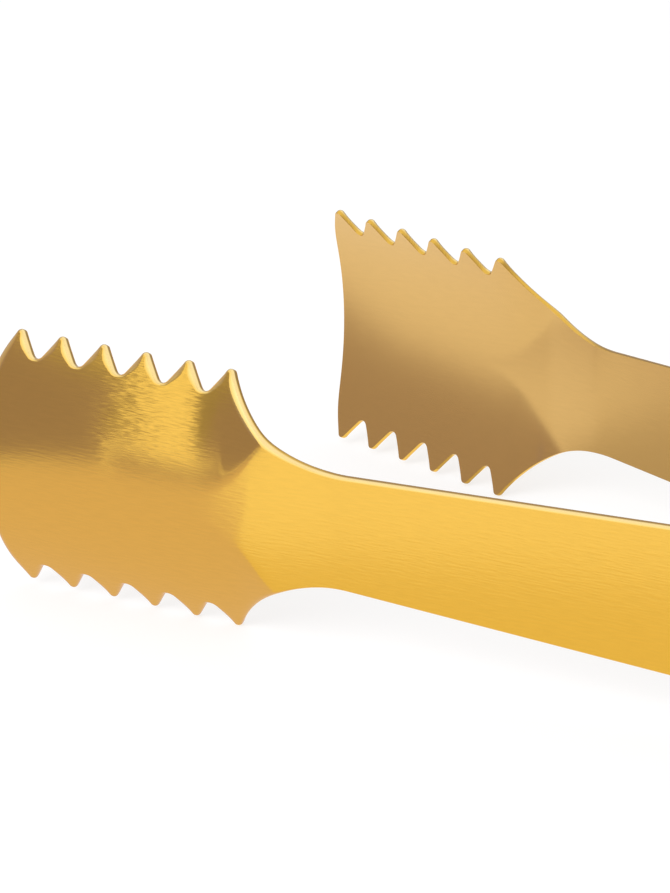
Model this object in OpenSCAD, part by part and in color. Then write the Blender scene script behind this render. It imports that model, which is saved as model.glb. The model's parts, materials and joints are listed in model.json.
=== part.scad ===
// Serving tongs bent from one spring strip, standing on edge as they rest on a table.
// X runs from the claws to the bow, Y is the way the arms open, Z is up.
// Left and right are as seen from the bow: the left arm is on the -Y side.

/* [Strip] */
// Thickness of the strip
strip_t = 1; // [0.8:0.1:1.2]
// Width of the strip at the neck, behind each claw
neck_w = 13.8; // [12.6:0.2:15]
// Growth of the strip's half width for each millimetre of arm
taper = 0.043; // [0.035:0.001:0.05]

/* [Bow] */
// Radius of the bow at mid thickness
bow_r = 7.6; // [7:0.1:9]
// Angle from the back of the bow to each flex line
flex_angle = 40; // [35:1:45]
// Clearance round the rounded end at each flex line
flex_gap = 0.03; // [0.02:0.01:0.05]

/* [Arms] */
// Distance between the arms at the neck, from mid thickness to mid thickness
neck_gap = 55.2; // [50:0.2:60]
// Lean of each arm out from the long axis
arm_lean = 9.15; // [8.5:0.05:10]

/* [Claws] */
// Width of a claw over its tooth tips
claw_w = 32.6; // [31:0.2:34]
// Reach of a claw from the neck to its front edge
claw_l = 47.2; // [46.6:0.1:48]
// Lean of a claw out from the long axis
claw_lean = 8.5; // [8:0.1:9]
// Lean of the short ramp between the arm and the claw
ramp_lean = 13.35; // [11:0.05:14]
// Radius of the dish at mid thickness
dish_r = 32; // [30:0.5:36]
// Radius of the claw's front edge, seen flat
front_r = 80; // [70:1:100]

/* [Teeth] */
// Teeth on each side of a claw
teeth = 6; // [6:1:6]
// Distance from tooth to tooth
pitch = 6; // [5.9:0.05:6.05]
// Depth of a tooth, from tip to valley
tooth_depth = 2.9; // [2.5:0.1:3.2]
// Radius of a tooth's tip
tip_r = 0.4; // [0.3:0.05:0.5]
// Radius of the valley between two teeth
valley_r = 0.5; // [0.4:0.05:0.6]

/* [Hidden] */

$fn = 96;

// Distances along the strip, counted from the neck: towards the bow on the arm, towards the front on the claw
neck_cut = 4;
ramp_start = 1;
ramp_run = 8.8;
crease_s = ramp_run - ramp_start;
last_tooth_s = 13.5;
run_out_s = 12;

// Turns between the straight stretches, and the turn of the dish where it runs out into the ramp
ramp_turn = ramp_lean - claw_lean;
arm_turn = arm_lean - claw_lean;
run_out_turn = 14.3;
// Flat left along the crest of the dish
crest_flat = 0.02;
// Steepness of the front tooth's outer flank
front_flank = 55;
// Radius of the hollow between the last tooth and the neck
neck_r = 19;

// Room for cutting shapes, and how far a cut reaches past what it cuts
deep = 20;
reach = 60;
margin = 2;

half_t = strip_t / 2;
claw_half = claw_w / 2;

function half_width(u) = neck_w / 2 + taper * u;

// Bow: its centre lies where a circle of its radius touches both arms
bow_x = (neck_gap / 2 * cos(arm_lean) - bow_r) / sin(arm_lean);
arm_l = bow_x * cos(arm_lean) + neck_gap / 2 * sin(arm_lean);
bow_half = half_width(arm_l);
bow_back = bow_x + bow_r + half_t;
shoulder_end = 90 - arm_lean;

// Crease between ramp and claw, in the plan of the right-hand side
ramp_l = ramp_run / cos(ramp_turn);
crease = [0, neck_gap / 2]
       + ramp_start * [cos(arm_lean), -sin(arm_lean)]
       + ramp_l * [-cos(ramp_lean), sin(ramp_lean)];

// Place of a point on the right-hand claw: distance past the crease and depth inwards
function claw_point(x, depth) = crease + x * [-cos(claw_lean), sin(claw_lean)]
                              - depth * [sin(claw_lean), cos(claw_lean)];

// Rest on the table: the last teeth and the lower edge of the bow's back carry the tongs
dish_sag = dish_r - sqrt(dish_r * dish_r - claw_half * claw_half);
tooth_x = claw_point(last_tooth_s - crease_s, dish_sag).x;
front_x = claw_point(claw_l - crease_s, half_t).x;
rest_tilt = atan2(claw_half - bow_half, bow_back - tooth_x);
lift = claw_half * cos(rest_tilt) + tooth_x * sin(rest_tilt);
mid_x = (front_x * cos(rest_tilt) + bow_back * cos(rest_tilt) + bow_half * sin(rest_tilt)) / 2;

// Teeth: the flank is the line that touches a tip round and the next valley round
round_drop = tooth_depth - tip_r - valley_r;
round_span = norm([pitch / 2, round_drop]);
flank = atan2(round_drop, pitch / 2) + asin((tip_r + valley_r) / round_span);
flank_out = [sin(flank), cos(flank)];
flank_back = [-flank_out.x, flank_out.y];

function tip(i) = [last_tooth_s + i * pitch, claw_half - tip_r];
function valley(i) = [last_tooth_s + (i + 0.5) * pitch, claw_half - tooth_depth + valley_r];

// Neck hollow: a circle that touches the arm's edge line and the last tooth's tip round
slope = norm([1, taper]);
hollow_drop = tip(0).y - neck_w / 2 - neck_r * slope;
hollow_a = slope * slope;
hollow_b = 2 * (hollow_drop * taper - tip(0).x);
hollow_c = tip(0).x * tip(0).x + hollow_drop * hollow_drop - pow(neck_r + tip_r, 2);
hollow_s = (-hollow_b - sqrt(hollow_b * hollow_b - 4 * hollow_a * hollow_c)) / (2 * hollow_a);
hollow = [hollow_s, half_width(-hollow_s) + neck_r * slope];
hollow_start = hollow - neck_r * [taper, 1] / slope;

// Round of tooth i's tip, from one angle down to another, in short steps
tip_steps = 6;
function tip_round(i, from, to) = [
    for (k = [0 : tip_steps]) let (a = from + (to - from) * k / tip_steps)
        tip(i) + tip_r * [cos(a), sin(a)]
];

// Upper edge of the flat claw, from the neck to the front: the valleys and the hollow are cut afterwards
neck_end = -neck_cut - ramp_start;
hollow_angle = atan2(hollow.y - tip(0).y, hollow.x - tip(0).x);
front_start = tip(teeth - 1) + tip_r * [sin(front_flank), cos(front_flank)];
upper_edge = [
    [neck_end, half_width(-neck_end)],
    hollow_start,
    for (i = [0 : teeth - 1]) each [
        each tip_round(i, i == 0 ? hollow_angle : 90 + flank, i == teeth - 1 ? 90 - front_flank : 90 - flank),
        if (i < teeth - 1) valley(i) - valley_r * flank_out,
        if (i < teeth - 1) valley(i) - valley_r * flank_back
    ],
    [front_start.x + front_start.y / tan(front_flank), 0]
];
last_upper = len(upper_edge) - 1;
lower_edge = [for (i = [last_upper - 1 : -1 : 0]) [upper_edge[i].x, -upper_edge[i].y]];

// Mid line of the arm's end, the ramp and the claw in plan, with the crease as origin
ramp_foot = ramp_run * [-1, tan(ramp_turn)];
neck_foot = ramp_foot + (neck_cut - ramp_start) * [-cos(arm_turn), sin(arm_turn)];

// Offset of a bend in that line: d inwards, square to a stretch that turns from a to b
function bend_offset(p, a, b, d) = p + d / cos((b - a) / 2) * [sin((a + b) / 2), cos((a + b) / 2)];

module steel() color([0.86, 0.66, 0.30]) children();

module placed() translate([-mid_x, 0, lift]) rotate([0, rest_tilt, 0]) children();

module left_side() mirror([0, 1, 0]) children();

// Arc of the bow between two angles from its back
module bow_arc(from, to) {
    rotate([0, 0, from])
        rotate_extrude(angle = to - from)
            translate([bow_r - half_t, -bow_half])
                square([strip_t, 2 * bow_half]);
}

// Round bar along a flex line, which lies at mid thickness
module flex_bar(angle, r, extra) {
    translate([bow_r * cos(angle), bow_r * sin(angle), 0])
        cylinder(r = r, h = 2 * (bow_half + extra), center = true);
}

module crown() {
    translate([bow_x, 0, 0])
        difference() {
            bow_arc(-flex_angle, flex_angle);
            for (side = [-1, 1]) flex_bar(side * flex_angle, half_t + flex_gap, 1);
        }
}

module shoulder() {
    translate([bow_x, 0, 0])
        union() {
            bow_arc(flex_angle, shoulder_end);
            flex_bar(flex_angle, half_t, 0);
        }
}

module arm() {
    translate([0, neck_gap / 2, 0])
        rotate([0, 0, -arm_lean])
            rotate([90, 0, 0])
                linear_extrude(height = strip_t, center = true)
                    polygon([
                        [neck_cut, half_width(neck_cut)],
                        [arm_l, bow_half],
                        [arm_l, -bow_half],
                        [neck_cut, -half_width(neck_cut)]
                    ]);
}

// Block of the claw's flat outline: X along the claw from the neck, Z across the strip
module claw_block() {
    intersection() {
        rotate([90, 0, 0])
            linear_extrude(height = 2 * deep, center = true)
                polygon(concat(upper_edge, lower_edge));
        round_bar([claw_l - front_r, 0], front_r);
    }
}

// Round bar through the strip's thickness
module round_bar(middle, r) {
    translate([middle.x, 0, middle.y])
        rotate([90, 0, 0])
            cylinder(r = r, h = 2 * (deep + margin), center = true);
}

// Hollow behind the last tooth and valleys between the teeth
module claw_cuts() {
    for (side = [-1, 1]) {
        round_bar([hollow.x, side * hollow.y], neck_r);
        for (i = [0 : teeth - 2]) round_bar([valley(i).x, side * valley(i).y], valley_r);
    }
}

// Room on the inner side of the arm's end, the ramp and the claw's crest, moved d inwards.
// It reaches extra millimetres past the strip's end and past the other cutting shapes.
module inner_room(d, extra) {
    end = neck_foot + extra * [-cos(arm_turn), sin(arm_turn)];
    linear_extrude(height = 2 * (deep + extra), center = true)
        polygon([
            bend_offset(end, arm_turn, arm_turn, d),
            bend_offset(ramp_foot, arm_turn, ramp_turn, d),
            bend_offset([0, 0], ramp_turn, 0, d),
            [reach + extra, d],
            [reach + extra, deep + extra],
            end + (deep + extra) * [sin(arm_turn), cos(arm_turn)]
        ]);
}

// Outer part of a round bar along X, from one end to the other, below a plane that is top from its axis
module bar_belly(r, from, to, top) {
    intersection() {
        translate([from, 0, 0]) rotate([0, 90, 0]) cylinder(r = r, h = to - from);
        translate([from - margin, top - reach, -deep - 2 * margin])
            cube([to - from + 2 * margin, reach, 2 * (deep + 2 * margin)]);
    }
}

// Room inside the dish moved d inwards: a round bar along the claw, joined to one that tilts out to the ramp
module dish_room(d, extra) {
    bar_r = dish_r - d;
    bar_l = reach + extra;
    top = extra - dish_r / 3;
    translate([run_out_s - crease_s - dish_r * tan(run_out_turn / 2), dish_r - crest_flat, 0]) {
        bar_belly(bar_r, 0, bar_l, top);
        rotate([0, 0, run_out_turn]) bar_belly(bar_r, -bar_l, 0, top);
    }
}

// Sheet of even thickness along the arm's end, the ramp and the dish
module claw_sheet() {
    difference() {
        intersection() {
            inner_room(-half_t, 0);
            dish_room(-half_t, 0);
        }
        intersection() {
            inner_room(half_t, margin);
            dish_room(half_t, margin);
        }
    }
}

module claw() {
    translate([crease.x, crease.y, 0])
        rotate([0, 0, 180 - claw_lean])
            difference() {
                intersection() {
                    translate([-crease_s, 0, 0]) claw_block();
                    claw_sheet();
                }
                translate([-crease_s, 0, 0]) claw_cuts();
            }
}

module bow_crown() steel() placed() crown();
module left_shoulder() steel() placed() left_side() shoulder();
module right_shoulder() steel() placed() shoulder();
module left_arm() steel() placed() left_side() arm();
module right_arm() steel() placed() arm();
module left_claw() steel() placed() left_side() claw();
module right_claw() steel() placed() claw();

bow_crown();
left_shoulder();
right_shoulder();
left_arm();
right_arm();
left_claw();
right_claw();
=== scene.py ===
"""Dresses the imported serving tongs: each side is one brushed strip from the bow's back to the claw."""

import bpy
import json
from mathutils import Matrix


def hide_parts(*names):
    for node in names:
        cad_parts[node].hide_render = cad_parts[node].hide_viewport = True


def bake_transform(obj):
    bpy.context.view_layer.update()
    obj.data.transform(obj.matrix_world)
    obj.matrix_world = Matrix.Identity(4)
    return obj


bl_info = {
    "name": "Serving Tongs",
    "version": (1, 0, 0),
    "blender": (4, 5, 0),
    "location": "View3D > Sidebar > Tongs",
    "description": "Builds the brushed strip of the serving tongs round the packed frame, with its stage",
    "category": "Add Mesh",
}

import json
import math
from collections import namedtuple

import bpy
import numpy as np
from mathutils import Matrix, Vector

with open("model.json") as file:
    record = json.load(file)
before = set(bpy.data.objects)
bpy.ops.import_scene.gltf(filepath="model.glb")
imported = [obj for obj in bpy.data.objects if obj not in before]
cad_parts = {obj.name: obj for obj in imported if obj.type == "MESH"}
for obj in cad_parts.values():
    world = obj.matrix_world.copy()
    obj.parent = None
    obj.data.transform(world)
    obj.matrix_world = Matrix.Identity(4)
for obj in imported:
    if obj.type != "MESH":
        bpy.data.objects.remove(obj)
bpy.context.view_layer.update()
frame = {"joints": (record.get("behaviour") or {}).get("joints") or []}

MM = 0.001
UP = np.array([0, 0, 1])
SIDES = {"left": -1, "right": 1}

# Teeth on each edge of a claw
TEETH = 6

# Names of the strip's flat map and of its points' values: inner face, and painted highlight on the upper
# rims
UV_NAME = "strip"
INNER_NAME = "inner_face"
PAINTED_HIGHLIGHT_NAME = "rim"

# Rows of points along the strip, from the bow's back to the front
BACK_STEPS = (0.03 * MM, 0.25 * MM)
BOW_ROWS = 40
ARM_ROWS = 60
HOLLOW_ROWS = 48
LAST_TIP_ROWS = 6
ROUND_ROWS = 11
FLANK_SHARES = (0.2, 0.4, 0.6, 0.8)
LEAST_ROW_GAP = 0.0001 * MM

# Columns of points across the strip, and the roots up to which they lie evenly
INSIDE_COLUMNS = 37
EDGE_COLUMNS = 6
ROOT_SHARE = 0.7
NECK_ROOT_SHARE = 0.86
CLAW_ROOT_DEPTH = 2 * MM
ROOT_GROWS = (2 * MM, 14 * MM)
ARM_ROOT_GAP = 1 * MM
LEAST_ROOT_GAP = 0.3 * MM

# The rounded rim: its steps, the room it may fill on a tooth, and where it grows and shrinks; and the
# highlight painted on it in a paler gold, from ring to ring and along the upper edges only
OUTER_RIM_STEPS = 9
INNER_RIM_STEPS = 4
RIM_ROOM = 0.8
RIM_LIMIT_POWER = 4
RIM_GROWS = (1 * MM, 13 * MM)
VALLEY_SPAN = (0.15, 0.5)
PAINTED_HIGHLIGHT_RINGS = (0, 4, 6, 8)
PAINTED_HIGHLIGHT_SHARES = (0, 1, 1, 0)
PAINTED_HIGHLIGHT_HEIGHT = 6 * MM

# Softness at the start of the taper, and the inner face's own place in the flat map
TAPER_SOFT = 2 * MM
INNER_MAP_SHIFT = (60 * MM, 20 * MM)

# Short steps for slopes and normals, and values that count as nought
SLOPE_STEP = 0.002 * MM
NORMAL_STEP = 0.01 * MM
LEAST_SINE = 1e-6
AT_TIP = 1e-6 * MM

# Values of the noise between which the brush lines change tone, and the depth of their relief
LINE_LIMITS = (0.3, 0.7)
RELIEF_DEPTH = 0.1 * MM

# Places on the floor in millimetres: the left claw, the rail, and the sheets of painted shadow that the
# metal mirrors
CLAW_AT = (-70.3, -33.5)
BACK_RAIL = ((-180, 31), (-130, 9), (-127, -2.5), (-109, -9), (-100, -10))
ARM_SHADOW_SHEET = (((-68, -6), (80, -4)), ((-68, 30), (80, 6)))
CLAW_SHADOW_EDGE = ((-95, -118), (-77, -79), (-68, -66), (-65, -52), (-56, -37), (-47, -25))
WARM_SHADOW_SHEET = (((-60, -29), (80, -10)), ((-78, -57), (57, -66)))

# Smaller sizes of the cards, and the heights in the room between which it turns from grey to pale
FRONT_RAIL_TOP_SHARES = (1, 1, 2, 0.3)
BACK_FADE_SHARE = 1 / 3
PAST_WHITE_CARD = 50 * MM
PAST_RAIL = 2 * MM
SILL_END_HEIGHT = 2 * MM
SHEET_LIFT = 0.2 * MM
CARD_STEPS = 24
HORIZON = (0.38, 0.68)


def length(name, description, millimetres):
    """A size in the user's units, with its default given in millimetres."""
    return bpy.props.FloatProperty(
        name=name, description=description, default=millimetres * MM, unit="LENGTH", precision=5
    )


def place(name, description, millimetres):
    """A place in the scene, with its default given in millimetres."""
    return bpy.props.FloatVectorProperty(
        name=name,
        description=description,
        default=[a * MM for a in millimetres],
        subtype="TRANSLATION",
        size=3,
    )


def angle(name, description, degrees):
    """An angle, with its default given in degrees."""
    return bpy.props.FloatProperty(
        name=name, description=description, default=math.radians(degrees), unit="ROTATION"
    )


def colour(name, description, rgb):
    """A linear colour."""
    return bpy.props.FloatVectorProperty(
        name=name, description=description, default=rgb, subtype="COLOR", min=0, max=1, size=3
    )


def number(name, description, default, low=0.0, high=10.0):
    """A plain factor with its limits."""
    return bpy.props.FloatProperty(
        name=name, description=description, default=default, min=low, max=high
    )


class TongsSizes(bpy.types.PropertyGroup):
    """Sizes of the strip that both sides are bent from."""

    strip_t: length("Strip thickness", "Thickness of the steel strip", 1)
    neck_w: length("Neck width", "Width of the strip behind each claw", 13.8)
    taper: number("Taper", "Growth of the strip's half width along the arm", 0.043)
    bow_r: length("Bow radius", "Radius of the bow at mid thickness", 7.6)
    flex_angle: angle("Flex angle", "Angle from the bow's back to each flex line", 40)
    neck_gap: length("Neck gap", "Distance between the arms at the neck", 55.2)
    arm_lean: angle("Arm lean", "Lean of each arm out from the long axis", 9.15)
    claw_w: length("Claw width", "Width of a claw over its tooth tips", 32.53)
    claw_l: length("Claw reach", "Reach of a claw from the neck to its front edge", 47.14)
    claw_lean: angle("Claw lean", "Lean of a claw out from the long axis", 8.5)
    ramp_lean: angle("Ramp lean", "Lean of the short ramp between arm and claw", 13.35)
    ramp_from: length("Ramp start", "Start of the ramp, towards the bow from the neck", 1)
    ramp_to: length("Ramp end", "End of the ramp, towards the front from the neck", 7.8)
    bend: length("Bend", "Length over which each bend of the ramp turns", 0.5)
    dish_r: length("Dish radius", "Radius of the claw's dish at mid thickness", 32)
    run_out_s: length("Run-out", "Distance from the neck at which the dish starts to run out", 11.2)
    run_out_turn: angle("Run-out turn", "Slope at which the dish runs out into the ramp", 13.5)
    run_out_soft: length("Run-out softness", "Length over which the run-out starts", 1.7)
    run_out_skew: number("Run-out skew", "Shift of the run-out along the strip per unit across", 0.12, -1, 1)
    dish_soft: length("Dish softness", "Depth over which the dish's edge fades out on the outer face", 0.15)
    inner_dish_soft: length("Inner dish softness", "Depth over which it fades out on the inner face", 1)
    front_r: length("Front radius", "Radius of the claw's front edge, seen flat", 80)
    front_slope: number("Front slope", "Fall of the front edge per unit across, by the front teeth", 0.56)
    front_soft: length("Front softness", "Length over which the front edge turns into that fall", 1.2)
    neck_r: length("Neck hollow", "Radius of the hollow between the last tooth and the neck", 19)
    last_tooth_s: length("Last tooth", "Distance from the neck to the last tooth's tip", 13.5)
    pitch: length("Tooth pitch", "Distance from tooth to tooth", 6)
    tooth_depth: length("Tooth depth", "Depth of a tooth from tip to valley", 2.84)
    tip_r: length("Tip radius", "Radius of a tooth's tip", 0.65)
    valley_r: length("Valley radius", "Radius of the valley between two teeth", 0.96)
    outer_rim: length("Outer rim", "Width of the rounding along the outer face's edge", 1.15)
    arm_rim: number("Arm rim", "Share of the outer rim's width along the arm and bow", 0.28, 0, 1)
    valley_rim: number("Valley rim", "Share by which the rim is narrower in a valley", 0.65, 0, 0.9)
    outer_rim_deep: length("Outer rim depth", "Depth of that rounding through the thickness", 0.58)
    inner_rim: length("Inner rim", "Size of the small rounding along the inner face's edge", 0.07)


class GoldFinish(bpy.types.PropertyGroup):
    """The brushed gold finish."""

    gold: colour("Gold", "Colour of the outer faces", (0.79, 0.478, 0.082))
    inner_gold: colour("Inner gold", "Colour of the inner faces", (0.655, 0.41, 0.138))
    # Painted highlight: paler gold on the upper rims, standing in for the light they catch
    painted_highlight_gold: colour("Rim gold", "Paler colour of the upper rims", (1, 0.76, 0.33))
    roughness: number("Roughness", "Roughness of the outer faces", 0.135, 0, 1)
    inner_roughness: number("Inner roughness", "Roughness of the inner faces", 0.165, 0, 1)
    anisotropy: number("Anisotropy", "How far reflections spread across the brush lines", 1.0, 0, 1)
    brush_gap: length("Brush gap", "Distance from one brush line to the next", 0.25)
    brush_run: length("Brush run", "Length of a brush line", 2.6)
    brush_bump: number("Brush bump", "Strength of the brush lines' relief", 0.11, 0, 1)
    brush_tint: number("Brush tint", "Share by which the brush lines vary the colour", 0.03, 0, 1)


class TongsStage(bpy.types.PropertyGroup):
    """Floor, cards, light and camera."""

    camera_at: place("Camera place", "Where the camera stands", (191.31, -304.7, 157.19))
    camera_azimuth: angle("Camera azimuth", "Turn of the view: 0 looks along +Y, 90 along -X", 39.821)
    camera_elevation: angle("Camera elevation", "How far the camera looks down", 19.895)
    camera_roll: angle("Camera roll", "Turn of the picture about the view", -2.192)
    camera_focus: number("Focal length", "Focal length in millimetres on a 36 mm sensor", 135.89, 10, 500)
    floor_reach: length("Floor reach", "Reach of the floor to every side", 3000)
    floor_colour: colour("Floor", "Colour of the floor", (0.3, 0.3, 0.3))
    floor_white: number("Floor white", "Share of white that the floor shows in the picture", 0.715, 0, 1)
    floor_mirrored: number("Mirrored white", "Share of white that the floor shows in the metal", 0.85, 0, 1)
    surround: colour("Surround", "Colour of the room near the horizon", (0.4, 0.38, 0.46))
    overhead: colour("Overhead", "Colour of the light from above", (1, 1, 1))
    shade: colour("Shade", "Grey of the rail that the left claw mirrors", (0.41, 0.363, 0.635))
    back_shade: colour("Back shade", "Grey of the rail that the right claw mirrors", (0.54, 0.47, 0.48))
    # Painted shadow: grey of the sheet that stands in for the floor's shade between the arms
    between: colour("Between", "Sheet between the arms that the right arm mirrors", (0.7, 0.66, 0.62))
    # Painted shadow: tone of the sheet that stands in for the floor's shade before the left claw
    before: colour("Before", "Sheet before the left claw that this claw mirrors", (0.89, 0.795, 0.94))
    # Painted shadow: warm tone of the sheet for the floor before the left arm, shaded and lit by gold bounce
    # light
    warm: colour("Warm", "Sheet before the left arm that its lower half mirrors", (1, 0.92, 0.66))
    rail_x: length("Rail place", "Distance from the middle to the grey rail beside the claws", 110)
    rail_front: length("Rail bend", "Distance from the middle to the bend in front of the rail", 118)
    rail_far_x: length("Far rail place", "Distance from the middle to the far bend, past the claws", 200)
    rail_far_front: length("Far rail bend", "Distance from the middle to that bend, to the front", 250)
    rail_height: length("Rail height", "Height of the grey rail", 60)
    rail_fade: length("Rail fade", "Height over which the rail turns from white to grey", 5)
    sill_front: length("Sill place", "Distance from the middle to the low grey sill in front", 120)
    sill_length: length("Sill length", "Length of the low grey sill", 40)
    sill_height: length("Sill height", "Height of the low grey sill at its left end", 13)
    front_glow: number("Front card", "Brightness of the white card in front, where 1 is white", 1.25, 0, 2)
    front_width: length("Front card width", "Width of the white card", 1000)
    front_height: length("Front card height", "Height of the white card", 1500)
    front_azimuth: angle("Front card azimuth", "Direction of the card's left edge, from -Y to -X", 23.18)
    front_away: length("Front card distance", "Distance of the card from the left claw", 700)
    front_round: length("Front card round", "Radius at which its left edge curves from upright", 1480)
    key_at: place("Key light place", "Where the large lamp in front stands", (-150, -750, 500))
    key_size: length("Key light size", "Width and height of the large lamp", 600)
    key_power: number("Key light", "Power of the large lamp, in watts", 5, 0, 100)


def soft_ramp(x, width):
    """A ramp with a rounded foot: nought well below x = 0 and x itself well above it."""
    return width * np.logaddexp(0.0, x / width)


def smooth_step(x, low, high):
    """Nought below low, one above high, and the cubic 3t^2 - 2t^3 between them."""
    t = np.clip((x - low) / (high - low), 0.0, 1.0)
    return t * t * (3.0 - 2.0 * t)


def arc_steps(middle, radius, first, last):
    """Distances along the strip of points spread evenly by angle on a round, measured from its top."""
    return middle + radius * np.sin(np.linspace(first, last, ROUND_ROWS))


class Strip:
    """One side's strip worked out from the sizes.

    s is the distance along the strip from the neck, positive towards the claw's front, and z is the
    distance across the strip from its middle line. deep is the distance from mid thickness inwards."""

    def __init__(self, sizes):
        self.sizes = sizes
        self.claw_half = sizes.claw_w / 2
        self.bow_x = (
            sizes.neck_gap / 2 * math.cos(sizes.arm_lean) - sizes.bow_r
        ) / math.sin(sizes.arm_lean)
        self.arm_l = (
            self.bow_x * math.cos(sizes.arm_lean) + sizes.neck_gap / 2 * math.sin(sizes.arm_lean)
        )
        self.bow_half = sizes.neck_w / 2 + sizes.taper * self.arm_l
        self.bow_turn = math.pi / 2 - sizes.arm_lean
        self.bow_l = sizes.bow_r * self.bow_turn
        self._place_crease()
        self._place_teeth()
        self._place_hollow()
        self._place_front()

    def _place_crease(self):
        """The crease where the ramp meets the claw, in the plan of the right side."""
        sizes = self.sizes
        ramp_l = (sizes.ramp_from + sizes.ramp_to) / math.cos(sizes.ramp_lean - sizes.claw_lean)
        start = np.array([0.0, sizes.neck_gap / 2])
        back = np.array([math.cos(sizes.arm_lean), -math.sin(sizes.arm_lean)])
        up_ramp = np.array([-math.cos(sizes.ramp_lean), math.sin(sizes.ramp_lean)])
        self.crease = start + sizes.ramp_from * back + ramp_l * up_ramp

    def _place_teeth(self):
        """The flank is the line that touches a tip's round and the next valley's round."""
        sizes = self.sizes
        drop = sizes.tooth_depth - sizes.tip_r - sizes.valley_r
        span = math.hypot(sizes.pitch / 2, drop)
        touch = math.asin((sizes.tip_r + sizes.valley_r) / span)
        self.flank = math.atan2(drop, sizes.pitch / 2) + touch
        self.tip_z = self.claw_half - sizes.tip_r
        self.front_tip_s = sizes.last_tooth_s + (TEETH - 1) * sizes.pitch

    def _place_hollow(self):
        """The neck's hollow is the circle that touches the arm's edge line and the last tooth's tip round:
        its middle lies at the smaller root of a s^2 + b s + c = 0."""
        sizes = self.sizes
        slope = math.hypot(1, sizes.taper)
        drop = self.tip_z - sizes.neck_w / 2 - sizes.neck_r * slope
        a = slope * slope
        b = 2 * (drop * sizes.taper - sizes.last_tooth_s)
        c = sizes.last_tooth_s**2 + drop**2 - (sizes.neck_r + sizes.tip_r) ** 2
        self.hollow_s = (-b - math.sqrt(b * b - 4 * a * c)) / (2 * a)
        self.hollow_z = sizes.neck_w / 2 - sizes.taper * self.hollow_s + sizes.neck_r * slope
        self.hollow_from = self.hollow_s - sizes.neck_r * sizes.taper / slope
        share = sizes.tip_r / (sizes.neck_r + sizes.tip_r)
        self.hollow_to = sizes.last_tooth_s + share * (self.hollow_s - sizes.last_tooth_s)

    def _place_front(self):
        """The joint where the front tooth's tip round runs into the front edge, and the place across the
        strip at which the front edge starts to fall so that it meets that joint."""
        sizes = self.sizes
        fall = self.tip_z / sizes.front_r + sizes.front_slope
        self.joint_turn = math.atan2(1, fall)
        self.joint_s = self.front_tip_s + sizes.tip_r * math.sin(self.joint_turn)
        self.joint_z = self.tip_z + sizes.tip_r * math.cos(self.joint_turn)
        drop = sizes.claw_l - self.joint_s - self.joint_z**2 / (2 * sizes.front_r)
        self.fall_z = self.joint_z - drop / sizes.front_slope

    def front(self, z):
        """Reach of the front edge at z, and the edge's outward normal: a wide parabola that turns softly
        into a steady fall beside the front teeth."""
        sizes = self.sizes
        beside = np.abs(z)
        over = beside - self.fall_z
        drop = sizes.front_slope * soft_ramp(over, sizes.front_soft)
        s = sizes.claw_l - z * z / (2 * sizes.front_r) - drop
        fall = beside / sizes.front_r + sizes.front_slope / (1 + np.exp(-over / sizes.front_soft))
        slant = np.hypot(1, fall)
        return s, 1 / slant, np.sign(z) * fall / slant

    def rim_share(self, s, turn_sin):
        """Share of the rim's full width that fits at a place on the edge, so that the rims of a tooth's two
        flanks don't meet: it follows the way to the tooth's middle line along the edge's normal, up to one.
        The rim is also narrower in the valleys, and along the arm and bow."""
        sizes = self.sizes
        tooth = np.clip(np.round((s - sizes.last_tooth_s) / sizes.pitch), 0, TEETH - 1)
        beside_tip = np.abs(s - (sizes.last_tooth_s + sizes.pitch * tooth))
        room = beside_tip / np.maximum(np.abs(turn_sin), LEAST_SINE)
        room = np.where(beside_tip < AT_TIP, sizes.tip_r, room)
        fits = RIM_ROOM * room / sizes.outer_rim
        behind = sizes.arm_rim + (1 - sizes.arm_rim) * smooth_step(s, *RIM_GROWS)
        sunk = smooth_step(beside_tip, VALLEY_SPAN[0] * sizes.pitch, VALLEY_SPAN[1] * sizes.pitch)
        sunk = np.where((s > sizes.last_tooth_s) & (s < self.front_tip_s), sunk, 0)
        limit = (1 + fits**RIM_LIMIT_POWER) ** (1 / RIM_LIMIT_POWER)
        return (1 - sizes.valley_rim * sunk) * behind * fits / limit

    def edge(self, s):
        """Half width at s: the bow's even width, the arm's straight taper, the neck's round hollow, then
        teeth as straight flanks with round tips and valleys."""
        sizes = self.sizes
        arm = self.bow_half - sizes.taper * soft_ramp(s + self.arm_l, TAPER_SOFT)
        hollow = self.hollow_z - np.sqrt(np.maximum(sizes.neck_r**2 - (s - self.hollow_s) ** 2, 0))
        half = sizes.pitch / 2
        beside_tip = np.abs((s - sizes.last_tooth_s + half) % sizes.pitch - half)
        beside_valley = half - beside_tip
        tip = self.tip_z + np.sqrt(np.maximum(sizes.tip_r**2 - beside_tip**2, 0))
        bottom = self.claw_half - sizes.tooth_depth + sizes.valley_r
        valley = bottom - np.sqrt(np.maximum(sizes.valley_r**2 - beside_valley**2, 0))
        flank = self.tip_z + sizes.tip_r / math.cos(self.flank) - beside_tip * math.tan(self.flank)
        return np.select(
            [
                s < self.hollow_from,
                s < self.hollow_to,
                s > self.front_tip_s,
                beside_tip < sizes.tip_r * math.sin(self.flank),
                beside_valley < sizes.valley_r * math.sin(self.flank),
                s < sizes.last_tooth_s,
            ],
            [arm, hollow, tip, tip, valley, tip],
            flank,
        )

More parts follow.
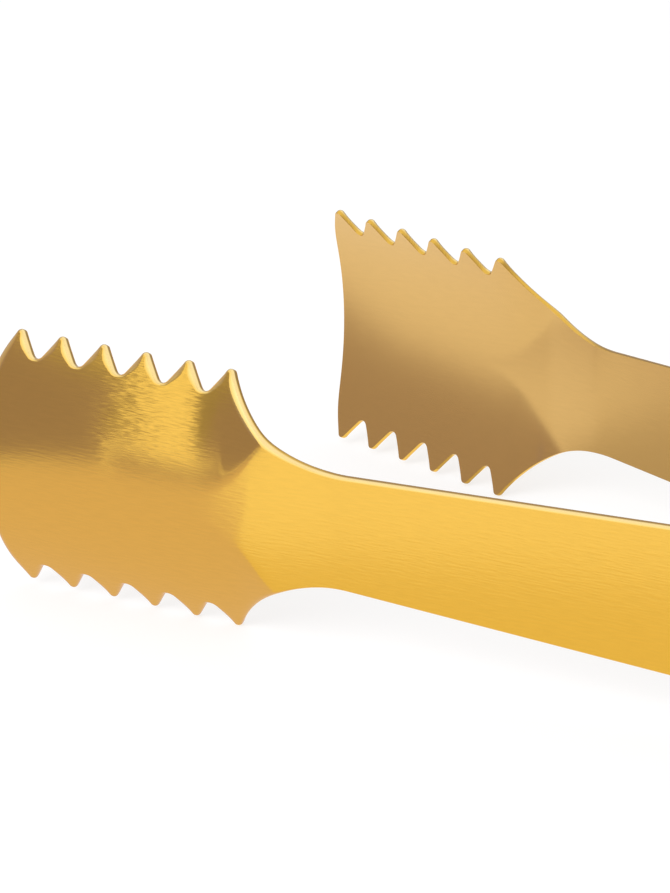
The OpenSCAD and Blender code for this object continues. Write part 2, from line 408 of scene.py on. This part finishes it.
    def rows(self):
        """Distances along the strip at which a row of points crosses it: close together on every round."""
        sizes = self.sizes
        back = -self.arm_l - self.bow_l
        steps = [
            np.array([back, back + BACK_STEPS[0]]),
            np.linspace(back + BACK_STEPS[1], -self.arm_l, BOW_ROWS),
            np.linspace(-self.arm_l, self.hollow_from, ARM_ROWS),
            np.linspace(self.hollow_from, self.hollow_to, HOLLOW_ROWS),
            np.linspace(self.hollow_to, sizes.last_tooth_s, LAST_TIP_ROWS),
        ]
        tip_end = sizes.tip_r * math.sin(self.flank)
        flank_l = sizes.pitch / 2 - (sizes.tip_r + sizes.valley_r) * math.sin(self.flank)
        from_tip = tip_end + np.array(FLANK_SHARES) * flank_l
        for i in range(TEETH):
            tip_s = sizes.last_tooth_s + i * sizes.pitch
            first = 0 if i == 0 else -self.flank
            last = self.joint_turn if i == TEETH - 1 else self.flank
            steps.append(arc_steps(tip_s, sizes.tip_r, first, last))
            if i < TEETH - 1:
                valley_s = tip_s + sizes.pitch / 2
                steps.append(arc_steps(valley_s, sizes.valley_r, -self.flank, self.flank))
                steps.extend([tip_s + from_tip, tip_s + sizes.pitch - from_tip])
        s = np.sort(np.concatenate(steps))
        return s[np.append(True, np.diff(s) > LEAST_ROW_GAP)]

    def columns(self):
        """Places across the strip from -1 to 1: most of them lie within the roots of the teeth."""
        inside = np.linspace(-ROOT_SHARE, ROOT_SHARE, INSIDE_COLUMNS)
        outside = ROOT_SHARE + (1 - ROOT_SHARE) * np.linspace(0, 1, EDGE_COLUMNS + 1)[1:]
        return np.concatenate([-outside[::-1], inside, outside])

    def root(self, s, end_z):
        """Place across the strip up to which the columns lie evenly in a row that ends at end_z: within the
        neck, below the claw's valleys and close to the arm's edge, and always a little short of the end."""
        sizes = self.sizes
        neck = NECK_ROOT_SHARE * sizes.neck_w / 2
        claw = self.claw_half - sizes.tooth_depth - CLAW_ROOT_DEPTH
        root = neck + (claw - neck) * smooth_step(s, *ROOT_GROWS)
        root = np.where(s < self.hollow_from, np.maximum(root, end_z - ARM_ROOT_GAP), root)
        return np.minimum(root, end_z - LEAST_ROOT_GAP)

    def grid(self, inset):
        """Flat places (s, z) of a face whose edge is moved in by inset.

        A row's ends lie on the edge line moved in along its own normal. Across it z runs evenly to the
        root of the teeth and then to the edge, and near the front the rows bow out until the last one is
        the front edge's own arc."""
        s = self.rows()
        slope = (self.edge(s + SLOPE_STEP) - self.edge(s - SLOPE_STEP)) / (2 * SLOPE_STEP)
        slope[0] = 0.0
        turn = np.arctan(-slope)
        turn[-1] = self.joint_turn
        move = inset * self.rim_share(s, np.sin(turn))
        end_s = s - move * np.sin(turn)
        end_z = self.edge(s) - move * np.cos(turn)
        root = self.root(s, end_z)
        column = self.columns()
        within = np.minimum(np.abs(column) / ROOT_SHARE, 1)
        beyond = np.clip((np.abs(column) - ROOT_SHARE) / (1 - ROOT_SHARE), 0, 1)
        across = within[None, :] * root[:, None] + beyond[None, :] * (end_z - root)[:, None]
        across = np.sign(column)[None, :] * across
        reach = self.front_inset(across, inset)
        bowed = smooth_step(s, self.front_tip_s - self.sizes.pitch, self.joint_s)
        along = end_s[:, None] + bowed[:, None] * (reach - reach[:, -1:])
        return along, across

    def front_inset(self, z, inset):
        """Reach at z of the front edge moved in by inset along its own normal, found from the edge's point
        that lies inset away in the normal's direction."""
        reach, along, aside = self.front(z)
        move = inset * self.rim_share(reach, along)
        reach, along, _ = self.front(z + move * aside)
        return reach - inset * self.rim_share(reach, along) * along

    def dish(self, s, z, deep):
        """Depth of the dish inwards: a circle across the strip, less a slope that starts softly at the
        run-out and rises towards the neck, and never less than nought, with an edge that is softer towards
        the inner face."""
        sizes = self.sizes
        inner_share = 0.5 + deep / sizes.strip_t
        edge = sizes.dish_soft + (sizes.inner_dish_soft - sizes.dish_soft) * inner_share
        circle = sizes.dish_r - np.sqrt(sizes.dish_r**2 - z * z)
        before = sizes.run_out_s + sizes.run_out_skew * z - s
        rise = math.tan(sizes.run_out_turn) * soft_ramp(before, sizes.run_out_soft)
        soft = edge * np.tanh(rise / (2 * edge))
        left = circle - rise
        return 0.5 * (left + np.sqrt(left * left + soft * soft))

    def plan(self, s):
        """Place (x, y) of the middle line at s on the right side, with the unit vector that points inwards.

        Along arm, ramp and claw it is measured from the claw's own line: nought past the ramp, then a slope
        along the ramp and a smaller one along the arm, joined by soft bends. The bow is a circle that
        touches the arm."""
        sizes = self.sizes
        ramp = math.tan(sizes.ramp_lean - sizes.claw_lean)
        arm = math.tan(sizes.arm_lean - sizes.claw_lean)
        depth = ramp * soft_ramp(sizes.ramp_to - s, sizes.bend)
        depth = depth - (ramp - arm) * soft_ramp(-sizes.ramp_from - s, sizes.bend)
        forward = np.array([-math.cos(sizes.claw_lean), math.sin(sizes.claw_lean)])
        inward = np.array([-math.sin(sizes.claw_lean), -math.cos(sizes.claw_lean)])
        line = self.crease + (s - sizes.ramp_to)[..., None] * forward + depth[..., None] * inward
        around = self.bow_turn + (s + self.arm_l) / sizes.bow_r
        towards = -np.stack([np.cos(around), np.sin(around)], axis=-1)
        bow = np.array([self.bow_x, 0.0]) - sizes.bow_r * towards
        on_bow = (s < -self.arm_l)[..., None]
        return np.where(on_bow, bow, line), np.where(on_bow, towards, inward)

    def bow_place(self, around):
        """Point of the right side's middle line at an angle round the bow from its back."""
        bow_r = self.sizes.bow_r
        return np.array([self.bow_x + bow_r * math.cos(around), bow_r * math.sin(around), 0])

    def middle(self, s, z, deep):
        """Point at mid thickness: the plan's place moved inwards by the dish, at height z."""
        place, inward = self.plan(s)
        place = place + self.dish(s, z, deep)[..., None] * inward
        return np.concatenate([place, z[..., None]], axis=-1)

    def normal(self, s, z, deep):
        """Unit normal that points inwards: the cross product of a short step across the strip and a short
        step along it."""
        along = self.middle(s + NORMAL_STEP, z, deep) - self.middle(s - NORMAL_STEP, z, deep)
        across = self.middle(s, z + NORMAL_STEP, deep) - self.middle(s, z - NORMAL_STEP, deep)
        normal = np.cross(across, along)
        return normal / np.linalg.norm(normal, axis=-1, keepdims=True)

    def surface(self, s, z, deep):
        """Point at the distance deep inwards from mid thickness, along the true normal."""
        return self.middle(s, z, deep) + deep * self.normal(s, z, deep)


def rim_profile(sizes):
    """Insets from the edge line and depths through the thickness, from the outer face to the inner face:
    a quarter of an ellipse, the straight cut face, and a small quarter circle."""
    half = sizes.strip_t / 2
    turn = np.linspace(0, math.pi / 2, OUTER_RIM_STEPS)
    outer_in = sizes.outer_rim * (1 - np.sin(turn))
    outer_deep = -half + sizes.outer_rim_deep * (1 - np.cos(turn))
    small = np.linspace(0, math.pi / 2, INNER_RIM_STEPS)
    inner_in = sizes.inner_rim * (1 - np.cos(small))
    inner_deep = half - sizes.inner_rim * (1 - np.sin(small))
    return np.concatenate([outer_in, inner_in]), np.concatenate([outer_deep, inner_deep])


def rim_loop(grid):
    """The open line round a face from the bow's upper edge to the front and back along the lower edge."""
    return np.concatenate([grid[:, -1], grid[-1, -2::-1], grid[-2::-1, 0]])


def quads(lower, upper):
    """Index quads between two lines of indices of the same length."""
    return np.stack([lower[:-1], lower[1:], upper[1:], upper[:-1]], axis=-1).reshape(-1, 4)


def face_quads(index):
    """Index quads of a whole grid of indices."""
    return np.stack(
        [index[:-1, :-1], index[1:, :-1], index[1:, 1:], index[:-1, 1:]], axis=-1
    ).reshape(-1, 4)


def strip_quads(outer, rings, inner):
    """Quads of the outer face, the rim from ring to ring, and the inner face, which is turned round."""
    rim = [quads(lower, upper) for lower, upper in zip(rings, rings[1:])]
    return np.concatenate([face_quads(outer), *rim, face_quads(inner)[:, ::-1]])


def flat_places(s, z):
    """Places in the flat map: across the strip, then along it."""
    return np.stack([z, s], axis=-1).reshape(-1, 2)


# inner_share is each point's share of inner face; rim_share is its share of the highlight painted on the
# upper rims
StripParts = namedtuple("StripParts", "points normals flats faces flat_faces cap inner_share rim_share")


def strip_parts(strip):
    """Points, exact normals, flat places, quads, the quads' places in the flat map, the corners of the cap
    at the bow's back, and each point's shares of inner face and of the highlight painted in paler gold on
    the upper rims. The normals are nought on the rim's rings, whose own mesh gives them.

    The outer face, the rim's rings and the inner face follow each other. The flat map runs on over the rim
    by the rim's own length, so that the brushing is never squeezed there."""
    half = strip.sizes.strip_t / 2
    insets, deeps = rim_profile(strip.sizes)
    runs = np.cumsum(np.hypot(np.diff(insets), np.diff(deeps)))
    outer_s, outer_z = strip.grid(insets[0])
    inner_s, inner_z = strip.grid(insets[-1])
    points = [strip.surface(outer_s, outer_z, -half).reshape(-1, 3)]
    for inset, deep in zip(insets[1:-1], deeps[1:-1]):
        points.append(strip.surface(*map(rim_loop, strip.grid(inset)), deep))
    points.append(strip.surface(inner_s, inner_z, half).reshape(-1, 3))
    flats = [flat_places(outer_s, outer_z)]
    for run in runs:
        flats.append(flat_places(*map(rim_loop, strip.grid(insets[0] - run))))
    flats.append(flat_places(inner_s, inner_z) + np.array(INNER_MAP_SHIFT))

    # The flat map has one ring more than the points: the inner face's edge, as the rim runs up to it
    index = np.arange(outer_s.size).reshape(outer_s.shape)
    first = rim_loop(index)
    flat_rings = index.size + np.arange(len(runs) * len(first)).reshape(len(runs), len(first))
    rings = flat_rings[:-1]
    inner_index = flat_rings[-1, 0] + index
    inner_flat = index.size + flat_rings.size + index
    cap = np.concatenate([index[0], rings[:, 0], inner_index[0, ::-1], rings[::-1, -1]])

    inner_share = np.concatenate([np.zeros(inner_index[0, 0]), np.ones(index.size)])
    # Painted highlight: paler gold on the middle rings of the rim, along the upper edges only
    highlight_ring_share = np.interp(np.arange(1, len(runs)), PAINTED_HIGHLIGHT_RINGS, PAINTED_HIGHLIGHT_SHARES)
    upper = smooth_step(rim_loop(outer_z), 0, PAINTED_HIGHLIGHT_HEIGHT)
    painted_highlight_share = np.outer(highlight_ring_share, upper).ravel()
    points = np.concatenate(points)
    normals = np.zeros(points.shape)
    normals[index.ravel()] = -strip.normal(outer_s, outer_z, -half).reshape(-1, 3)
    normals[inner_index.ravel()] = strip.normal(inner_s, inner_z, half).reshape(-1, 3)
    return StripParts(
        points=points,
        normals=normals,
        flats=np.concatenate(flats),
        faces=strip_quads(index, [first, *rings, rim_loop(inner_index)], inner_index),
        flat_faces=strip_quads(index, [first, *flat_rings], inner_flat),
        cap=cap,
        inner_share=inner_share,
        rim_share=np.concatenate([np.zeros(index.size), painted_highlight_share, np.zeros(index.size)]),
    )


def rest_place(strip):
    """Turn and shift from the strip's own frame to the tongs at rest, read from the right flex joint: its
    axis gives the tilt on the table, and its place gives the shift of the flex line."""
    joint = next(j for j in frame["joints"] if j["name"] == "right_flex")
    tilt = math.atan2(joint["axis"][0], joint["axis"][2])
    flex = Vector(strip.bow_place(strip.sizes.flex_angle))
    turn = Matrix.Rotation(tilt, 3, "Y")
    return np.array(turn), np.array(Vector(joint["pos_m"]) - turn @ flex)


def strip_mesh(name, strip, side):
    """The closed mesh of one side. The left one is the right one's mirror image with its faces turned."""
    parts = strip_parts(strip)
    turn, shift = rest_place(strip)
    mirror = np.array([1, side, 1])
    points = (parts.points * mirror) @ turn.T + shift
    normals = (parts.normals * mirror) @ turn.T
    faces, flat_faces, cap = parts.faces, parts.flat_faces, parts.cap
    if side < 0:
        faces, flat_faces, cap = faces[:, ::-1], flat_faces[:, ::-1], cap[::-1]
    mesh = bpy.data.meshes.new(name)
    mesh.from_pydata(points.tolist(), [], faces.tolist() + [cap.tolist()])
    uv = mesh.uv_layers.new(name=UV_NAME)
    corner_uv = np.concatenate([parts.flats[flat_faces.ravel()], np.zeros((len(cap), 2))])
    uv.data.foreach_set("uv", corner_uv.astype(np.float32).ravel())
    # The points' shares of inner face and of the painted highlight on the upper rims, kept on the mesh
    for share_name, share in ((INNER_NAME, parts.inner_share), (PAINTED_HIGHLIGHT_NAME, parts.rim_share)):
        attribute = mesh.attributes.new(share_name, "FLOAT", "POINT")
        attribute.data.foreach_set("value", share.astype(np.float32))
    mesh.polygons.foreach_set("use_smooth", np.append(np.ones(len(faces), bool), False))
    mesh.validate()
    mesh.update()
    corner_normals = np.empty(len(mesh.loops) * 3, np.float32)
    mesh.corner_normals.foreach_get("vector", corner_normals)
    corner_normals = corner_normals.reshape(-1, 3)
    exact = normals[faces.ravel()]
    known = np.flatnonzero(np.any(exact != 0, axis=1))
    corner_normals[known] = exact[known]
    mesh.normals_split_custom_set(corner_normals.tolist())
    return mesh


def add_object(context, name, data):
    """A new object at the origin of the scene."""
    made = bpy.data.objects.new(name, data)
    context.scene.collection.objects.link(made)
    return made


def empty_material(name):
    """A new material with its node tree, which holds only the output node."""
    material = bpy.data.materials.new(name)
    material.use_nodes = True
    tree = material.node_tree
    tree.nodes.clear()
    return material, tree, tree.nodes.new("ShaderNodeOutputMaterial")


def feed(tree, socket, value):
    """Links another node's output to a socket, or sets the socket to a plain value."""
    if isinstance(value, bpy.types.NodeSocket):
        tree.links.new(value, socket)
    else:
        socket.default_value = value


def add_node(tree, kind, **inputs):
    """A shader node whose inputs, named with _ for a space, are plain values or other nodes' outputs."""
    node = tree.nodes.new(kind)
    for name, value in inputs.items():
        feed(tree, node.inputs[name.replace("_", " ")], value)
    return node


def calculated(tree, operation, *values, clamp=False):
    """The result of a calculation with numbers or other nodes' outputs."""
    node = tree.nodes.new("ShaderNodeMath")
    node.operation = operation
    node.use_clamp = clamp
    for socket, value in zip(node.inputs, values):
        feed(tree, socket, value)
    return node.outputs[0]


def mixed_colour(tree, factor, first, second, blend="MIX"):
    """The colour that a factor mixes from two others. The Mix node's colour sockets are told by place,
    since it has others of the same names."""
    node = tree.nodes.new("ShaderNodeMix")
    node.data_type = "RGBA"
    node.blend_type = blend
    for socket, value in ((0, factor), (6, first), (7, second)):
        feed(tree, node.inputs[socket], value)
    return node.outputs[2]


def mapped(tree, value, **limits):
    """A value carried from one range to another."""
    return add_node(tree, "ShaderNodeMapRange", Value=value, **limits).outputs["Result"]


def rising_share(tree, coordinates, low, high):
    """Share that rises smoothly from nought at the height low to one at the height high."""
    place = tree.nodes.new("ShaderNodeTexCoord")
    parts = add_node(tree, "ShaderNodeSeparateXYZ", Vector=place.outputs[coordinates])
    rise = add_node(tree, "ShaderNodeMapRange", Value=parts.outputs["Z"], From_Min=low, From_Max=high)
    rise.interpolation_type = "SMOOTHSTEP"
    return rise.outputs["Result"]


def point_share(tree, name):
    """A share that the mesh keeps at each point."""
    node = tree.nodes.new("ShaderNodeAttribute")
    node.attribute_name = name
    return node.outputs["Fac"]


def brush_lines(tree, finish):
    """Noise on the strip's flat map, drawn out along the strip into brush lines."""
    flat = tree.nodes.new("ShaderNodeUVMap")
    flat.uv_map = UV_NAME
    lines_each_way = (1 / finish.brush_gap, 1 / finish.brush_run, 1)
    stretch = add_node(tree, "ShaderNodeMapping", Vector=flat.outputs["UV"], Scale=lines_each_way)
    lines = add_node(
        tree, "ShaderNodeTexNoise", Vector=stretch.outputs["Vector"], Scale=1.0, Detail=1.0, Roughness=0.5
    )
    lines.noise_dimensions = "2D"
    return lines.outputs["Fac"]


def brushed_gold(finish):
    """Gold-coloured steel brushed along the strip.

    The brush lines make a small change of tone and, on the outer faces, a fine relief. The tangent lies
    across the strip, so that reflections spread across the brush lines. The upper rims carry a painted
    highlight in a paler gold, and the inner faces have a duller colour and are rougher."""
    material, tree, out = empty_material("brushed_gold")
    inner = point_share(tree, INNER_NAME)
    # Share of the highlight painted on the upper rims
    rim = point_share(tree, PAINTED_HIGHLIGHT_NAME)
    lines = brush_lines(tree, finish)
    shader = add_node(
        tree,
        "ShaderNodeBsdfPrincipled",
        Base_Color=(*finish.gold, 1),
        Roughness=finish.roughness,
        Metallic=1.0,
        Anisotropic=finish.anisotropy,
    )
    feed(tree, out.inputs["Surface"], shader.outputs["BSDF"])
    tangent = tree.nodes.new("ShaderNodeTangent")
    tangent.direction_type = "UV_MAP"
    tangent.uv_map = UV_NAME
    feed(tree, shader.inputs["Tangent"], tangent.outputs["Tangent"])
    faces = mixed_colour(tree, inner, (*finish.gold, 1), (*finish.inner_gold, 1))
    # Painted highlight: the upper rims are mixed towards the paler gold
    with_painted_highlight = mixed_colour(tree, rim, faces, (*finish.painted_highlight_gold, 1))
    tones = mapped(
        tree,
        lines,
        From_Min=LINE_LIMITS[0],
        From_Max=LINE_LIMITS[1],
        To_Min=1 - finish.brush_tint / 2,
        To_Max=1 + finish.brush_tint / 2,
    )
    feed(tree, shader.inputs["Base Color"], mixed_colour(tree, 1, with_painted_highlight, tones, "MULTIPLY"))
    rough = mapped(tree, inner, To_Min=finish.roughness, To_Max=finish.inner_roughness)
    feed(tree, shader.inputs["Roughness"], rough)
    outer = mapped(tree, inner, To_Min=1.0, To_Max=0.0)
    height = calculated(tree, "MULTIPLY", lines, outer)
    relief = add_node(
        tree, "ShaderNodeBump", Strength=finish.brush_bump, Distance=RELIEF_DEPTH, Height=height
    )
    feed(tree, shader.inputs["Normal"], relief.outputs["Normal"])
    return material


class TONGS_OT_sides(bpy.types.Operator):
    """Builds the left and right strip, each from the bow's back to its claw"""

    bl_idname = "tongs.sides"
    bl_label = "Build Both Sides"

    def execute(self, context):
        strip = Strip(context.scene.tongs_sizes)
        gold = brushed_gold(context.scene.tongs_finish)
        turn, shift = rest_place(strip)
        for name, side in SIDES.items():
            mesh = strip_mesh(f"{name}_strip", strip, side)
            mesh.materials.append(gold)
            piece = add_object(context, f"{name}_strip", mesh)
            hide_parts("bow_crown", f"{name}_shoulder", f"{name}_arm", f"{name}_claw")
            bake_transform(piece)
        return {"FINISHED"}


def floor_material(stage):
    """White floor: part of its white is shown as it is to the camera and to reflections, and the rest is
    matt and takes the shadow."""
    material, tree, out = empty_material("white_floor")
    path = tree.nodes.new("ShaderNodeLightPath").outputs
    seen = calculated(tree, "MULTIPLY", path["Is Camera Ray"], stage.floor_white)
    bounced = calculated(tree, "ADD", path["Is Glossy Ray"], path["Is Transmission Ray"], clamp=True)
    level = calculated(tree, "MULTIPLY_ADD", bounced, stage.floor_mirrored, seen)
    matt = add_node(tree, "ShaderNodeBsdfDiffuse", Color=(*stage.floor_colour, 1))
    glow = add_node(tree, "ShaderNodeEmission", Strength=level)
    both = tree.nodes.new("ShaderNodeAddShader")
    feed(tree, both.inputs[0], matt.outputs[0])
    feed(tree, both.inputs[1], glow.outputs[0])
    feed(tree, out.inputs["Surface"], both.outputs[0])
    return material


def floor_places(places, lift=0.0):
    """Places (x, y) in millimetres as points at one height above the floor."""
    flat = np.array(places) * MM
    return np.column_stack([flat, np.full(len(flat), lift)])


def card_directions(stage):
    """Unit vectors from the left claw to the white card's left edge, and along the card to the right."""
    turn = stage.front_azimuth
    ahead = np.array([-math.sin(turn), -math.cos(turn), 0])
    beside = np.array([math.cos(turn), -math.sin(turn), 0])
    return ahead, beside


class TONGS_OT_stage(bpy.types.Operator):
    """Makes the floor, the cards, the surround, the lamp and the camera"""

    bl_idname = "tongs.stage"
    bl_label = "Set the Stage"

    def execute(self, context):
        stage = context.scene.tongs_stage
        self.floor(context, stage)
        self.rails(context, stage)
        self.shadow_sheets(context, stage)
        self.white_card(context, stage)
        self.surround(context, stage)
        self.light(context, stage)
        self.camera(context, stage)
        context.scene.view_settings.view_transform = "Standard"
        return {"FINISHED"}

    def floor(self, context, stage):
        """One flat sheet."""
        far = stage.floor_reach
        corners = [(-far, -far, 0), (far, -far, 0), (far, far, 0), (-far, far, 0)]
        mesh = bpy.data.meshes.new("floor")
        mesh.from_pydata(corners, [], [(0, 1, 2, 3)])
        mesh.materials.append(floor_material(stage))
        floor = add_object(context, "floor", mesh)

    def card(self, context, name, first, second, tone, fade=0.0):
        """A card between two lines, upright or lying, which shows in reflections only. The foot of an
        upright one can fade from white into its tone."""
        index = np.arange(len(first))
        mesh = bpy.data.meshes.new(name)
        faces = quads(index, index + len(first))
        mesh.from_pydata(np.concatenate([first, second]).tolist(), [], faces.tolist())
        material, tree, out = empty_material(name)
        glow = add_node(tree, "ShaderNodeEmission", Color=(*tone, 1))
        feed(tree, out.inputs["Surface"], glow.outputs[0])
        if fade:
            rise = rising_share(tree, "Object", 0.0, fade)
            feed(tree, glow.inputs["Color"], mixed_colour(tree, rise, (1, 1, 1, 1), (*tone, 1)))
        mesh.materials.append(material)
        card = add_object(context, name, mesh)
        card.visible_camera = False
        card.visible_diffuse = False
        card.visible_shadow = False

    def rails(self, context, stage):
        """A grey rail beside the claws, with a tone for each claw, and a low grey sill in front."""
        x = -stage.rail_x
        middle = np.array([x, -stage.rail_front / 2, 0])
        bend = np.array([x, -stage.rail_front, 0])
        far_bend = np.array([-stage.rail_far_x, -stage.rail_far_front, 0])
        ahead, _ = card_directions(stage)
        end = floor_places([CLAW_AT])[0] + (stage.front_away + PAST_WHITE_CARD) * ahead
        back = np.concatenate([floor_places(BACK_RAIL), [middle]])
        back_top = back + stage.rail_height * UP
        self.card(context, "back_rail", back, back_top, stage.back_shade, stage.rail_fade * BACK_FADE_SHARE)
        front = np.array([middle, bend, far_bend, end])
        front_top = front + np.outer(np.array(FRONT_RAIL_TOP_SHARES) * stage.rail_height, UP)
        self.card(context, "front_rail", front, front_top, stage.shade, stage.rail_fade)
        sill = np.array([(x, -stage.sill_front, 0), (x + stage.sill_length, -stage.sill_front, 0)])
        sill_top = sill + np.outer([stage.sill_height, SILL_END_HEIGHT], UP)
        self.card(context, "grey_sill", sill, sill_top, stage.shade)

    def shadow_sheets(self, context, stage):
        """Sheets of painted shadow just above the floor: grey ones between the arms and before the left
        claw, and a warm one before the left arm, shade with gold bounce light, that runs on below the claw's
        sheet."""
        # Painted shadow: grey sheet for the shaded floor between the arms
        near, far = (floor_places(line, SHEET_LIFT) for line in ARM_SHADOW_SHEET)
        self.card(context, "arm_shadow_sheet", near, far, stage.between)
        # Painted shadow: sheet for the shaded floor before the left claw
        edge = floor_places(CLAW_SHADOW_EDGE, SHEET_LIFT)
        beyond = edge.copy()
        beyond[:, 0] = -stage.rail_x - PAST_RAIL
        self.card(context, "claw_sheet", beyond, edge, stage.before)
        # Painted shadow: warm sheet for the floor before the left arm, in shade with gold bounce light
        near, far = (floor_places(line, SHEET_LIFT / 2) for line in WARM_SHADOW_SHEET)
        self.card(context, "warm_shadow_sheet", near, far, stage.warm)

    def white_card(self, context, stage):
        """A wide upright card, whose left edge curves out along a parabola as it rises."""
        ahead, beside = card_directions(stage)
        edge = floor_places([CLAW_AT])[0] + stage.front_away * ahead
        rise = np.linspace(0, stage.front_height, CARD_STEPS)
        upright = edge + np.outer(rise, UP)
        left = upright - np.outer(rise**2 / (2 * stage.front_round), beside)
        right = upright + stage.front_width * beside
        self.card(context, "white_card", left, right, (stage.front_glow,) * 3)

    def surround(self, context, stage):
        """The room: grey near the horizon and pale above."""
        world = bpy.data.worlds.new("surround")
        context.scene.world = world
        world.use_nodes = True
        tree = world.node_tree
        rise = rising_share(tree, "Generated", *HORIZON)
        room = mixed_colour(tree, rise, (*stage.surround, 1), (*stage.overhead, 1))
        feed(tree, tree.nodes["Background"].inputs["Color"], room)

    def light(self, context, stage):
        """A large soft lamp in front and above, which isn't seen itself."""
        data = bpy.data.lights.new("key_lamp", "AREA")
        data.shape = "SQUARE"
        data.size = stage.key_size
        data.energy = stage.key_power
        lamp = add_object(context, "key_lamp", data)
        lamp.location = stage.key_at
        lamp.rotation_euler = (-stage.key_at).to_track_quat("-Z", "Y").to_euler()
        lamp.visible_camera = False
        lamp.visible_glossy = False

    def camera(self, context, stage):
        """The camera looks along its azimuth and elevation and is rolled about that line."""
        a, e, r = stage.camera_azimuth, stage.camera_elevation, stage.camera_roll
        ahead = Vector((-math.sin(a) * math.cos(e), math.cos(a) * math.cos(e), -math.sin(e)))
        level = Vector((math.cos(a), math.sin(a), 0))
        right = level * math.cos(r) + level.cross(ahead) * math.sin(r)
        up = right.cross(ahead)
        turn = Matrix((right, up, -ahead)).transposed()
        data = bpy.data.cameras.new("camera")
        data.lens = stage.camera_focus
        camera = add_object(context, "camera", data)
        camera.matrix_world = Matrix.Translation(stage.camera_at) @ turn.to_4x4()
        context.scene.camera = camera


class TONGS_PT_panel(bpy.types.Panel):
    """Lists the steps that build the tongs"""

    bl_idname = "TONGS_PT_panel"
    bl_label = "Serving Tongs"
    bl_space_type = "VIEW_3D"
    bl_region_type = "UI"
    bl_category = "Tongs"

    def draw(self, context):
        self.layout.operator(TONGS_OT_sides.bl_idname)
        self.layout.operator(TONGS_OT_stage.bl_idname)


GROUPS = {"tongs_sizes": TongsSizes, "tongs_finish": GoldFinish, "tongs_stage": TongsStage}
CLASSES = (*GROUPS.values(), TONGS_OT_sides, TONGS_OT_stage, TONGS_PT_panel)


def register():
    for cls in CLASSES:
        bpy.utils.register_class(cls)
    for name, cls in GROUPS.items():
        setattr(bpy.types.Scene, name, bpy.props.PointerProperty(type=cls))


def unregister():
    for name in GROUPS:
        delattr(bpy.types.Scene, name)
    for cls in reversed(CLASSES):
        bpy.utils.unregister_class(cls)


def main():
    register()
    bpy.ops.tongs.sides()
    bpy.ops.tongs.stage()


if __name__ == "__main__":
    main()
